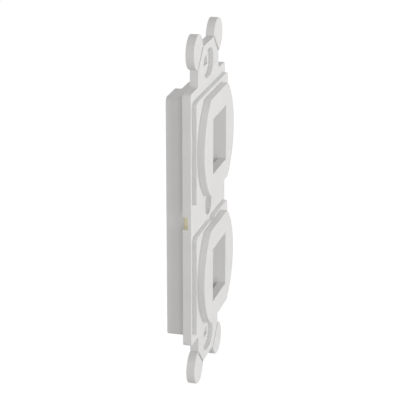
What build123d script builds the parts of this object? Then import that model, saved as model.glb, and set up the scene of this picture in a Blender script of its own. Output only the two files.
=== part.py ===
from build123d import *
import os

# Two-port keystone module frame, moulded in one piece. Millimetres.
# X runs across the frame, Y from front to back, Z up.
# The origin is the centre screw's axis on the front of the mounting strap.

# Faces with the two ports
port_pitch = 38.9
face_diameter = 34.1
face_flats = 28.3
face_rise = 3.33
port_width = 14.95
port_height = 16.25
port_drop = 0.1
lip_depth = 2.45
latch_room = 1.9

# Platforms under the faces
platform_width = 35.9
platform_height = 29.4
platform_rise = 1.27
platform_corner = 1.6
upper_platform_lift = 0.55
lower_platform_lift = 0.1
plate_boss_clearance = 5.4

# Mounting strap
strap_width = 38.5
strap_height = 74.7
strap_thickness = 2.45
strap_corner = 1.2
edge_notch_height = 3.85
edge_notch_depth = 1.44

# Ears with the yoke screw slots
ear_width = 22.55
ear_span = 95.3
ear_chamfer = 5.1
neck_fillet = 1.2
yoke_screw_spacing = 83.3
recess_width = 10.9
recess_height = 8.1
recess_depth = 1.38
slot_width = 7.4
slot_height = 2.45

# Break-off discs on the ear corners
disc_diameter = 9.8
disc_spacing = 21.9
disc_span = 94.5
score_width = 0.85
score_depth = 0.5

# Box behind the strap
box_width = 33.5
box_height = 70.9
box_depth = 5.39
box_corner = 1.5
box_wall = 1.8
rim_notch_left = 6.83
rim_notch_right = 11.0
rim_notch_depth = 1.83
rim_step_start = 0.6
rim_step_depth = 0.7
skin = 2.4
collar_wall = 1.6
rib_thickness = 1.5
rib_setback = 1.0

# Centre screw
plate_screw_recess_diameter = 7.15
plate_screw_pilot_diameter = 3.0
boss_diameter = 10.4

# Sizes that follow from the ones above
overrun = 1.0
face_front = -face_rise
platform_front = -platform_rise
strap_back = strap_thickness
box_back = strap_thickness + box_depth
lip_back = face_front + lip_depth
pocket_floor = platform_front + skin
cavity_height = port_height + 2 * latch_room
ear_straight = ear_span / 2 - ear_chamfer - strap_height / 2
face_heights = (port_pitch / 2, -port_pitch / 2)
port_heights = tuple(z - port_drop for z in face_heights)
platform_heights = (port_pitch / 2 + upper_platform_lift, -port_pitch / 2 + lower_platform_lift)
ear_sides = (1, -1)


def slab(outline, front, back):
    """Solid with an outline drawn in X and Z, between two depths along Y."""
    return extrude(Plane.XZ.offset(-back) * outline, amount=back - front)


def ear_outline(side):
    """One ear with its two outer corners cut off; side is 1 for the top ear and -1 for the bottom."""
    half = ear_width / 2
    end = ear_span / 2
    root = strap_height / 2 - strap_corner
    points = [
        (-half, side * root),
        (-half, side * (end - ear_chamfer)),
        (-half + ear_chamfer, side * end),
        (half - ear_chamfer, side * end),
        (half, side * (end - ear_chamfer)),
        (half, side * root),
    ]
    return make_face(Polyline(*points, close=True))


def strap_outline():
    """Strap and both ears as one outline, with rounded corners where the ears meet the strap."""
    outline = RectangleRounded(strap_width, strap_height, strap_corner)
    for side in ear_sides:
        outline += ear_outline(side)
    necks = []
    for side in ear_sides:
        for edge in (-ear_width / 2, ear_width / 2):
            necks.append(outline.vertices().sort_by_distance((edge, side * strap_height / 2))[0])
    return fillet(necks, min(neck_fillet, ear_straight / 2))


def disc_centres():
    """Centres of the four break-off discs, each with the signs of its corner."""
    return [(sx, sz, sx * disc_spacing / 2, sz * disc_span / 2) for sx in ear_sides for sz in ear_sides]


def break_off_discs():
    """Round discs that carry the frame on the wall face and snap off when they are in the way."""
    discs = Part()
    for sx, sz, x, z in disc_centres():
        discs += slab(Pos(x, z) * Circle(disc_diameter / 2), 0, strap_back)
    return discs


def score_line(sx, sz):
    """Square groove across one ear corner, where its disc snaps off."""
    x = sx * (ear_width / 2 - ear_chamfer / 2)
    z = sz * (ear_span / 2 - ear_chamfer / 2)
    groove = Rectangle(score_width, 2 * score_depth)
    along = Vector(sx, 0, -sz).normalized()
    plane = Plane(origin=(x, 0, z), x_dir=(along.Z, 0, -along.X), z_dir=along)
    return extrude(plane * groove, amount=Vector(ear_chamfer, ear_chamfer).length / 2, both=True)


def mounting_strap():
    """Strap, ears and discs, all of one thickness, with a score line along each disc."""
    strap = slab(strap_outline(), 0, strap_back) + break_off_discs()
    for sx, sz, x, z in disc_centres():
        strap -= score_line(sx, sz)
    return strap


def yoke_screw_cuts():
    """Long recess for each yoke screw's head, and the slot through its floor."""
    cuts = Part()
    for side in ear_sides:
        at = Pos(0, side * yoke_screw_spacing / 2)
        cuts += slab(at * SlotOverall(recess_width, recess_height), -overrun, recess_depth)
        cuts += slab(at * Rectangle(slot_width, slot_height), -overrun, strap_back + overrun)
    return cuts


def edge_notches():
    """Notch in the back of each long edge of the strap, out to the box."""
    reach = (strap_width - box_width) / 2
    cuts = Part()
    for side in ear_sides:
        at = Pos(side * (box_width / 2 + (reach + overrun) / 2), 0)
        outline = at * Rectangle(reach + overrun, edge_notch_height)
        cuts += slab(outline, strap_back - edge_notch_depth, strap_back + overrun)
    return cuts


def platform(z):
    """Low platform under one face, with its two top corners rounded."""
    outline = Pos(0, z) * Rectangle(platform_width, platform_height)
    top = outline.vertices().sort_by(Axis.Y)[-2:]
    return slab(fillet(top, platform_corner), platform_front, 0)


def platforms():
    """Both platforms, cut back around the centre screw."""
    both = platform(platform_heights[0]) + platform(platform_heights[1])
    return both - slab(Circle(plate_boss_clearance), platform_front - overrun, 0)


def receptacle_face(z):
    """Round face with a flat top and bottom, as on a duplex receptacle."""
    outline = Circle(face_diameter / 2) & Rectangle(face_diameter, face_flats)
    return slab(Pos(0, z) * outline, face_front, 0)


def port_cut(z):
    """Opening for one jack: the front lip, then the taller room for its latches."""
    opening = slab(Pos(0, z) * Rectangle(port_width, port_height), face_front - overrun, box_back + overrun)
    room = slab(Pos(0, z) * Rectangle(port_width, cavity_height), lip_back, box_back + overrun)
    return opening + room


def rear_pocket():
    """Hollow of the box, around the port collars, the centre boss and the ribs."""
    inner_width = box_width - 2 * box_wall
    inner_height = box_height - 2 * box_wall
    pocket = slab(Rectangle(inner_width, inner_height), pocket_floor, box_back + overrun)
    for z in port_heights:
        collar = Rectangle(port_width + 2 * collar_wall, cavity_height + 2 * collar_wall)
        pocket -= slab(Pos(0, z) * collar, pocket_floor, box_back + overrun)
    pocket -= slab(Circle(boss_diameter / 2), pocket_floor, box_back + overrun)
    for z in (0,) + port_heights:
        pocket -= slab(Pos(0, z) * Rectangle(inner_width, rib_thickness), pocket_floor, box_back - rib_setback)
    return pocket


def rim_cut(side, left, right, depth):
    """Cut in the back edge of the box's top or bottom wall, from left to right."""
    at = Pos((left + right) / 2, side * (box_height / 2 - box_wall / 2 + overrun / 2))
    return slab(at * Rectangle(right - left, box_wall + overrun), box_back - depth, box_back + overrun)


def rim_notches():
    """Shallow notch in the back edge of the top and bottom walls, with a deeper step at its right."""
    cuts = Part()
    for side in ear_sides:
        cuts += rim_cut(side, -rim_notch_left, rim_notch_right, rim_notch_depth)
        cuts += rim_cut(side, rim_step_start, rim_notch_right, rim_notch_depth + rim_step_depth)
    return cuts


def back_box():
    """Box behind the strap, open at the back."""
    shell = slab(RectangleRounded(box_width, box_height, box_corner), 0, box_back)
    return shell - rim_notches()


def centre_screw_cut():
    """Round recess for the wall plate's screw, and the pilot hole through the boss behind it."""
    recess = slab(Circle(plate_screw_recess_diameter / 2), -overrun, strap_back)
    pilot = slab(Circle(plate_screw_pilot_diameter / 2), -overrun, box_back + overrun)
    return recess + pilot


def module_frame():
    """The whole frame as one solid."""
    frame = mounting_strap() + back_box() + platforms()
    for z in face_heights:
        frame += receptacle_face(z)
    frame -= rear_pocket()
    for z in port_heights:
        frame -= port_cut(z)
    return frame - centre_screw_cut() - yoke_screw_cuts() - edge_notches()


os.makedirs("parts", exist_ok=True)
export_step(module_frame(), "parts/module_frame.step")
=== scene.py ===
"""Looks and studio for the keystone module frame, laid out as an add-on and run as a script. Metres."""

import math

import bmesh
import bpy
from mathutils import Matrix, Vector


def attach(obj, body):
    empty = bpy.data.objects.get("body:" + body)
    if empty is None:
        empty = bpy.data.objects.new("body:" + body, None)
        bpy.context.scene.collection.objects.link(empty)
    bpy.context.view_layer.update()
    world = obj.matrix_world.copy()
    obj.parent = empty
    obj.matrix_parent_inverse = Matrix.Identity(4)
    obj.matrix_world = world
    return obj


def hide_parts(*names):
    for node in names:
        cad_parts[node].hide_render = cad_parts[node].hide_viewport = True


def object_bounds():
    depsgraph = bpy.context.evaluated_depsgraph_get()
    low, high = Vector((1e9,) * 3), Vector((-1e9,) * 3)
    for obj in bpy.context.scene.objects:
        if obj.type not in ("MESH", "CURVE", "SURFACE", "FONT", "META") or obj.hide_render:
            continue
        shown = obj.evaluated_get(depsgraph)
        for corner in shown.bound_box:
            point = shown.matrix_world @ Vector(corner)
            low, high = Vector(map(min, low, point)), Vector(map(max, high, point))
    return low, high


bl_info = {
    "name": "Keystone module frame",
    "version": (1, 0, 0),
    "blender": (4, 5, 0),
    "location": "3D View > Sidebar > Module frame",
    "description": "Dresses the moulded two-port module frame and sets up its studio",
    "category": "Object",
}

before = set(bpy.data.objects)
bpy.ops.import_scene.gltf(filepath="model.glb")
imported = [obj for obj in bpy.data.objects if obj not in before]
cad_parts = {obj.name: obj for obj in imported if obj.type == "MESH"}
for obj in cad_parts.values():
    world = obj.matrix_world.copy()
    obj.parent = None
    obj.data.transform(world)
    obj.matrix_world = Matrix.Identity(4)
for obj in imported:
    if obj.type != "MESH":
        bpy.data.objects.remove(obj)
cad_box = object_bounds()

MM = 0.001
FRAME_NODE = "module_frame"
POLISH_AND_HIGHLIGHT_LAYER = "edge_polish_and_highlight"

# Small variations of the plastic, and the real polish and painted highlight on its rounded edges
GRAIN_DETAIL = 2
SPECKLE_SPACING = 0.45 * MM
SPECKLE_DETAIL = 1
FLOW_SPACING = 9 * MM
FLOW_DETAIL = 3
NOISE_MIDDLE = 0.5
FLOW_TONE = 0.05
SPECKLE_TONE = 0.03
# Painted highlight: lighter base colour on the rounded edges
EDGE_HIGHLIGHT = 0.05
FLOW_ROUGHNESS = 0.16
GRAIN_ROUGHNESS = 0.1
EDGE_POLISH = 0.1
SINK_DEPTH = 0.05 * MM
PLASTIC_IOR = 1.5

# Painted shade in the inner corners of the base colour, deeper in tone in the ports' latch rooms and behind
# the strap
CORNER_SAMPLES = 32
CORNER_REACH = 0.6 * MM
CORNER_PAINTED_SHADE = 0.25
DEEP_CORNER_REACH = 2.4 * MM
DEEP_CORNER_PAINTED_SHADE = 0.6
STRAP_BACK = 2.45 * MM
LATCH_ROOM_CENTRE = 19.45 * MM
LATCH_ROOM_HALF_WIDTH = 7.6 * MM
LATCH_ROOM_HALF_HEIGHT = 10.3 * MM
LATCH_ROOM_FRONT = -0.86 * MM

# Walls of the notch in each long edge of the strap
NOTCH_HALF_HEIGHT = 1.93 * MM
NOTCH_FLOOR = 16.5 * MM
NOTCH_FRONT = 0.95 * MM
NOTCH_BACK = 2.75 * MM

# How the mesh is cleaned and its edges are rounded
WELD = 0.001 * MM
FLAT_ANGLE = math.radians(0.5)
SCORE_DEPTH = 0.5 * MM
ROUND_PROFILE = 0.5
LARGE_FACE_WEIGHT = 100

# Stage
FLOOR_REACH = 6.0
FLOOR_GLOW = 0.86
FLOOR_SHADE = 0.3
FRONT_AZIMUTH = math.radians(-21)
RIGHT_AZIMUTH = math.radians(20)
BACK_AZIMUTH = math.radians(-140)
LAMP_DISTANCE = 0.9
LAMP_SIZE = 0.5
SENSOR = 36
NEAR_CLIP = 0.01
FAR_CLIP = 100


# Values that a user would change


class MouldingSettings(bpy.types.PropertyGroup):
    """Sizes and colours of the moulded frame."""

    edge_radius: bpy.props.FloatProperty(
        name="Edge radius",
        description="Rounding left by the mould on every outer edge",
        default=0.04 * MM,
        min=0.02 * MM,
        max=0.3 * MM,
        precision=5,
        unit="LENGTH",
        subtype="DISTANCE",
    )
    edge_segments: bpy.props.IntProperty(
        name="Edge segments",
        description="Facets across each rounded edge",
        default=3,
        min=1,
        max=6,
    )
    sharp_angle: bpy.props.FloatProperty(
        name="Sharp angle",
        description="Two faces that meet at more than this angle get a rounded edge",
        default=math.radians(24),
        subtype="ANGLE",
    )
    plastic_colour: bpy.props.FloatVectorProperty(
        name="Plastic",
        description="Colour of the moulded plastic",
        default=(0.80, 0.803, 0.783),
        size=3,
        min=0,
        max=1,
        subtype="COLOR",
    )
    notch_colour: bpy.props.FloatVectorProperty(
        name="Notch tint",
        description="Pale straw tint inside the notch at each side of the strap",
        default=(0.92, 0.88, 0.66),
        size=3,
        min=0,
        max=1,
        subtype="COLOR",
    )
    grain_size: bpy.props.FloatProperty(
        name="Grain size",
        description="Spacing of the fine grain that the mould's surface leaves",
        default=0.16 * MM,
        precision=5,
        unit="LENGTH",
        subtype="DISTANCE",
    )
    grain_depth: bpy.props.FloatProperty(
        name="Grain depth",
        description="Height of the fine grain",
        default=0.004 * MM,
        precision=6,
        unit="LENGTH",
        subtype="DISTANCE",
    )
    roughness: bpy.props.FloatProperty(
        name="Roughness",
        description="Roughness of the satin plastic",
        default=0.46,
        min=0,
        max=1,
        subtype="FACTOR",
    )


class StudioSettings(bpy.types.PropertyGroup):
    """Floor, lights and camera."""

    floor_colour: bpy.props.FloatVectorProperty(
        name="Floor",
        description="Colour of the floor",
        default=(0.86, 0.86, 0.86),
        size=3,
        min=0,
        max=1,
        subtype="COLOR",
    )
    floor_gap: bpy.props.FloatProperty(
        name="Floor gap",
        description="How far the floor lies below the frame",
        default=0.0,
        unit="LENGTH",
        subtype="DISTANCE",
    )
    world_level: bpy.props.FloatProperty(
        name="World light",
        description="Strength of the even light from all round",
        default=0.485,
        min=0,
    )
    world_colour: bpy.props.FloatVectorProperty(
        name="World colour",
        description="Colour of the even light from all round",
        default=(1.0, 0.975, 1.0),
        size=3,
        min=0,
        max=1,
        subtype="COLOR",
    )
    front_level: bpy.props.FloatProperty(
        name="Front lamp",
        description="Strength of the soft lamp in front of the frame, a little to its left",
        default=0.61,
        min=0,
    )
    right_level: bpy.props.FloatProperty(
        name="Right lamp",
        description="Strength of the soft lamp in front of the frame, a little to its right",
        default=0.26,
        min=0,
    )
    back_level: bpy.props.FloatProperty(
        name="Back lamp",
        description="Strength of the soft lamp behind the frame, to its left",
        default=0.21,
        min=0,
    )
    camera_azimuth: bpy.props.FloatProperty(
        name="Camera azimuth",
        description="Angle of the camera round the frame, from straight in front",
        default=math.radians(-75.2),
        subtype="ANGLE",
    )
    camera_elevation: bpy.props.FloatProperty(
        name="Camera elevation",
        description="Angle of the camera above the horizon",
        default=math.radians(19.099),
        subtype="ANGLE",
    )
    camera_distance: bpy.props.FloatProperty(
        name="Camera distance",
        description="Distance from the camera to the centre screw",
        default=474 * MM,
        unit="LENGTH",
        subtype="DISTANCE",
    )
    camera_shift: bpy.props.FloatVectorProperty(
        name="Camera offset",
        description="Sideways and upward offset of the camera from the centre screw",
        default=(-2.42 * MM, 0.72 * MM),
        size=2,
        unit="LENGTH",
    )
    lens: bpy.props.FloatProperty(
        name="Lens",
        description="Focal length in millimetres on a 36 mm sensor",
        default=147.4,
        min=10,
    )


def moulding():
    """Settings of the moulded frame."""
    return bpy.context.scene.module_frame_moulding


def studio():
    """Settings of the floor, lights and camera."""
    return bpy.context.scene.module_frame_studio


# Shader maths


class Sock:
    """A shader socket that takes part in Python expressions and adds Math nodes."""

    def __init__(self, shader, socket):
        self.shader = shader
        self.socket = socket

    def _math(self, operation, *values):
        return self.shader.node("Math", {"operation": operation}, *values)

    def __add__(self, other):
        return self._math("ADD", self, other)

    def __radd__(self, other):
        return self._math("ADD", other, self)

    def __sub__(self, other):
        return self._math("SUBTRACT", self, other)

    def __rsub__(self, other):
        return self._math("SUBTRACT", other, self)

    def __mul__(self, other):
        return self._math("MULTIPLY", self, other)

    def __rmul__(self, other):
        return self._math("MULTIPLY", other, self)

    def __gt__(self, other):
        return self._math("GREATER_THAN", self, other)

    def __lt__(self, other):
        return self._math("LESS_THAN", self, other)

    def __abs__(self):
        return self._math("ABSOLUTE", self)

    def max(self, other):
        return self._math("MAXIMUM", self, other)


class Shader:
    """Node tree of one material or world, filled through one method."""

    def __init__(self, owner):
        owner.use_nodes = True
        self.owner = owner
        self.tree = owner.node_tree
        self.tree.nodes.clear()

    def node(self, kind, settings=None, *values, out=0, **named):
        """Adds a node, sets its settings first, then its sockets, and gives one output."""
        made = self.tree.nodes.new("ShaderNode" + kind)
        for name, value in (settings or {}).items():
            setattr(made, name, value)
        for index, value in enumerate(values):
            self._put(made.inputs[index], value)
        for name, value in named.items():
            self._put(made.inputs[name.replace("_", " ")], value)
        return Sock(self, made.outputs[out]) if len(made.outputs) else None

    def _put(self, target, value):
        if isinstance(value, Sock):
            self.tree.links.new(value.socket, target)
        else:
            target.default_value = value

    def mix(self, factor, first, second):
        """Mix of two colours."""
        return self.node("Mix", {"data_type": "RGBA"}, out="Result", Factor=factor, A=first, B=second)


def rgba(colour):
    """Colour with full opacity."""
    return (*colour, 1.0)


# Moulded frame


def notch_walls(x, y, z):
    """Mask of the walls of the notch in each long edge of the strap."""
    return (abs(z) < NOTCH_HALF_HEIGHT) * (abs(x) > NOTCH_FLOOR) * (y > NOTCH_FRONT) * (y < NOTCH_BACK)


def deep_places(x, y, z):
    """Mask of the latch rooms in the two ports and of all that lies behind the strap, where the painted
    corner shade is deeper.
    """
    level = abs(abs(z) - LATCH_ROOM_CENTRE) < LATCH_ROOM_HALF_HEIGHT
    latch_rooms = (abs(x) < LATCH_ROOM_HALF_WIDTH) * level * (y > LATCH_ROOM_FRONT)
    return latch_rooms.max(y > STRAP_BACK)


def painted_corner_shade(shader, deep):
    """How much painted shade darkens the base colour in the inner corners: 0 on an open face."""
    reach = CORNER_REACH + deep * (DEEP_CORNER_REACH - CORNER_REACH)
    tone = CORNER_PAINTED_SHADE + deep * (DEEP_CORNER_PAINTED_SHADE - CORNER_PAINTED_SHADE)
    settings = {"samples": CORNER_SAMPLES, "only_local": True}
    open_face = shader.node("AmbientOcclusion", settings, out="AO", Distance=reach)
    return (1 - open_face) * tone


def moulded_plastic():
    """Off-white satin plastic: fine grain, slow drift of tone, polished edges with a painted highlight,
    painted shade in the inner corners and straw-tinted notches.
    """
    s = moulding()
    material = bpy.data.materials.new("moulded plastic")
    shader = Shader(material)
    place = shader.node("TexCoord", out="Object")
    x, y, z = (shader.node("SeparateXYZ", None, place, out=axis) for axis in "XYZ")

    def noise(spacing, detail):
        return shader.node("TexNoise", None, Vector=place, Scale=1 / spacing, Detail=detail)

    grain = noise(s.grain_size, GRAIN_DETAIL)
    speckle = noise(SPECKLE_SPACING, SPECKLE_DETAIL)
    flow = noise(FLOW_SPACING, FLOW_DETAIL)
    # Rounded edges: real polish lowers the roughness, and a painted highlight lightens the base colour
    polish_and_highlight = shader.node("Attribute", {"attribute_name": POLISH_AND_HIGHLIGHT_LAYER}, out="Fac")

    drift = (flow - NOISE_MIDDLE) * FLOW_TONE + (speckle - NOISE_MIDDLE) * SPECKLE_TONE
    # The base colour carries painted shade in the inner corners and a painted highlight on the rounded
    # edges, besides the random drift of tone
    tone = 1 + drift + polish_and_highlight * EDGE_HIGHLIGHT - painted_corner_shade(shader, deep_places(x, y, z))
    clean = shader.mix(notch_walls(x, y, z), rgba(s.plastic_colour), rgba(s.notch_colour))
    colour = shader.node("VectorMath", {"operation": "SCALE"}, Vector=clean, Scale=tone)
    uneven = (flow - NOISE_MIDDLE) * FLOW_ROUGHNESS + (grain - NOISE_MIDDLE) * GRAIN_ROUGHNESS
    rough = s.roughness + uneven - polish_and_highlight * EDGE_POLISH
    sink = shader.node("Bump", None, Distance=SINK_DEPTH, Height=flow)
    normal = shader.node("Bump", None, Distance=s.grain_depth, Height=grain, Normal=sink)
    surface = shader.node(
        "BsdfPrincipled", None, Base_Color=colour, Roughness=rough, Normal=normal, IOR=PLASTIC_IOR
    )
    shader.node("OutputMaterial", None, Surface=surface)
    return material


def score_line_points(work):
    """Vertices of the score lines beside the discs, on their floors and on the walls round them."""
    floors = [f for f in work.faces if all(abs(v.co.y - SCORE_DEPTH) < WELD for v in f.verts)]
    walls = [f for floor in floors for e in floor.edges if not e.is_convex for f in e.link_faces]
    return set(v for f in walls for v in f.verts)


def rounded_mesh(source):
    """Copy of the solid's mesh with its flat faces whole and its outer edges rounded.

    Inner corners and the score lines stay crisp.
    """
    s = moulding()
    work = bmesh.new()
    work.from_mesh(source)
    polish_and_highlight = work.faces.layers.float.new(POLISH_AND_HIGHLIGHT_LAYER)
    bmesh.ops.remove_doubles(work, verts=work.verts, dist=WELD)
    bmesh.ops.dissolve_limit(
        work, angle_limit=FLAT_ANGLE, use_dissolve_boundaries=False, verts=work.verts, edges=work.edges
    )
    turned = [e for e in work.edges if e.calc_face_angle() > s.sharp_angle]
    crisp = score_line_points(work)
    rounded = [e for e in turned if e.is_convex and not crisp.intersection(e.verts)]
    for edge in set(turned) - set(rounded):
        edge.smooth = False
    for face in work.faces:
        face.smooth = not crisp.issuperset(face.verts)
    made = bmesh.ops.bevel(
        work,
        geom=rounded,
        offset=s.edge_radius,
        offset_type="OFFSET",
        segments=s.edge_segments,
        profile=ROUND_PROFILE,
        affect="EDGES",
        clamp_overlap=False,
    )
    # The rounded faces are marked for lower roughness and for a painted highlight in the base colour
    for face in made["faces"]:
        face.smooth = True
        face[polish_and_highlight] = 1.0
    for edge in work.edges:
        if not edge.is_convex and edge.calc_face_angle() > s.sharp_angle:
            edge.smooth = False
    mesh = bpy.data.meshes.new("moulded_frame")
    work.to_mesh(mesh)
    work.free()
    return mesh


def applied(obj, name):
    """Mesh of an object with its modifiers applied."""
    view = bpy.context.evaluated_depsgraph_get()
    mesh = bpy.data.meshes.new_from_object(obj.evaluated_get(view))
    mesh.name = name
    return mesh


class MODULEFRAME_OT_moulding(bpy.types.Operator):
    """Makes the moulded frame with rounded edges and gives it its plastic"""

    bl_idname = "moduleframe.moulding"
    bl_label = "Moulded frame"

    def execute(self, context):
        piece = bpy.data.objects.new("moulded_frame", rounded_mesh(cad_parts[FRAME_NODE].data))
        context.scene.collection.objects.link(piece)
        even = piece.modifiers.new("even faces", "WEIGHTED_NORMAL")
        even.weight = LARGE_FACE_WEIGHT
        even.keep_sharp = True
        context.view_layer.update()
        piece.data = applied(piece, "moulded_frame")
        piece.modifiers.clear()
        piece.data.materials.clear()
        piece.data.materials.append(moulded_plastic())
        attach(piece, "root")
        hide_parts(FRAME_NODE)
        return {"FINISHED"}


# Stage


def pale_floor():
    """Pale floor that the camera sees as white, with the frame's soft shadow left on it."""
    shader = Shader(bpy.data.materials.new("pale floor"))
    s = studio()
    seen = shader.node("LightPath", out="Is Camera Ray")
    lit = shader.node("BsdfDiffuse", None, Color=rgba(s.floor_colour))
    shade = shader.node("BsdfDiffuse", None, Color=rgba([FLOOR_SHADE] * 3))
    glow = shader.node("Emission", None, Color=rgba([FLOOR_GLOW] * 3))
    white = shader.node("AddShader", None, shade, glow)
    surface = shader.node("MixShader", None, seen, lit, white)
    shader.node("OutputMaterial", None, Surface=surface)
    return shader.owner


def white_world():
    """Even light from all round, seen as plain white by the camera and in reflections."""
    world = bpy.data.worlds.new("studio")
    shader = Shader(world)
    seen = shader.node("LightPath", out="Is Camera Ray")
    glossy = shader.node("LightPath", out="Is Glossy Ray")
    through = shader.node("LightPath", out="Is Transmission Ray")
    white = seen.max(glossy).max(through)
    even = shader.node("Background", None, Color=rgba(studio().world_colour), Strength=studio().world_level)
    bright = shader.node("Background", None, Strength=1.0)
    surface = shader.node("MixShader", None, white, even, bright)
    shader.node("OutputWorld", None, Surface=surface)
    return world


def around(azimuth, elevation, distance):
    """Point at an angle round the frame, where azimuth 0 is straight in front."""
    flat = math.cos(elevation) * distance
    return Vector((math.sin(azimuth) * flat, -math.cos(azimuth) * flat, math.sin(elevation) * distance))


def soft_lamp(name, azimuth, level):
    """Square lamp level with the frame and facing it; its level is what it adds to a white face there."""
    place = around(azimuth, 0, LAMP_DISTANCE)
    data = bpy.data.lights.new(name, "AREA")
    data.shape = "SQUARE"
    data.size = LAMP_SIZE
    data.energy = level * (math.pi * LAMP_DISTANCE) ** 2
    lamp = bpy.data.objects.new(name, data)
    lamp.location = place
    lamp.rotation_mode = "QUATERNION"
    lamp.rotation_quaternion = (-place).to_track_quat("-Z", "Y")
    bpy.context.scene.collection.objects.link(lamp)


class MODULEFRAME_OT_stage(bpy.types.Operator):
    """Makes the floor, the lights and the camera"""

    bl_idname = "moduleframe.stage"
    bl_label = "Stage"

    def execute(self, context):
        s = studio()
        scene = context.scene
        work = bmesh.new()
        bmesh.ops.create_grid(work, x_segments=1, y_segments=1, size=FLOOR_REACH)
        mesh = bpy.data.meshes.new("floor")
        work.to_mesh(mesh)
        work.free()
        floor = bpy.data.objects.new("floor", mesh)
        floor.location.z = cad_box[0].z - s.floor_gap
        floor.data.materials.append(pale_floor())
        scene.collection.objects.link(floor)

        scene.world = white_world()
        soft_lamp("front lamp", FRONT_AZIMUTH, s.front_level)
        soft_lamp("right lamp", RIGHT_AZIMUTH, s.right_level)
        soft_lamp("back lamp", BACK_AZIMUTH, s.back_level)

        back = around(s.camera_azimuth, s.camera_elevation, 1)
        right = Vector((0, 0, 1)).cross(back).normalized()
        up = back.cross(right)
        data = bpy.data.cameras.new("camera")
        data.lens = s.lens
        data.sensor_width = SENSOR
        data.clip_start = NEAR_CLIP
        data.clip_end = FAR_CLIP
        camera = bpy.data.objects.new("camera", data)
        camera.matrix_world = Matrix((right, up, back)).transposed().to_4x4()
        camera.location = back * s.camera_distance + right * s.camera_shift[0] + up * s.camera_shift[1]
        scene.collection.objects.link(camera)
        scene.camera = camera
        scene.view_settings.view_transform = "Standard"
        return {"FINISHED"}


class MODULEFRAME_PT_panel(bpy.types.Panel):
    """Lists the steps that dress the frame, with their values"""

    bl_idname = "MODULEFRAME_PT_panel"
    bl_label = "Module frame"
    bl_space_type = "VIEW_3D"
    bl_region_type = "UI"
    bl_category = "Module frame"

    def draw(self, context):
        for settings, step in (
            (context.scene.module_frame_moulding, MODULEFRAME_OT_moulding),
            (context.scene.module_frame_studio, MODULEFRAME_OT_stage),
        ):
            box = self.layout.box()
            for name in settings.bl_rna.properties.keys():
                if name not in ("rna_type", "name"):
                    box.prop(settings, name)
            box.operator(step.bl_idname)


CLASSES = (
    MouldingSettings,
    StudioSettings,
    MODULEFRAME_OT_moulding,
    MODULEFRAME_OT_stage,
    MODULEFRAME_PT_panel,
)


def register():
    for made in CLASSES:
        bpy.utils.register_class(made)
    bpy.types.Scene.module_frame_moulding = bpy.props.PointerProperty(type=MouldingSettings)
    bpy.types.Scene.module_frame_studio = bpy.props.PointerProperty(type=StudioSettings)


def unregister():
    del bpy.types.Scene.module_frame_studio
    del bpy.types.Scene.module_frame_moulding
    for made in reversed(CLASSES):
        bpy.utils.unregister_class(made)


def main():
    register()
    bpy.ops.moduleframe.moulding()
    bpy.ops.moduleframe.stage()


if __name__ == "__main__":
    main()
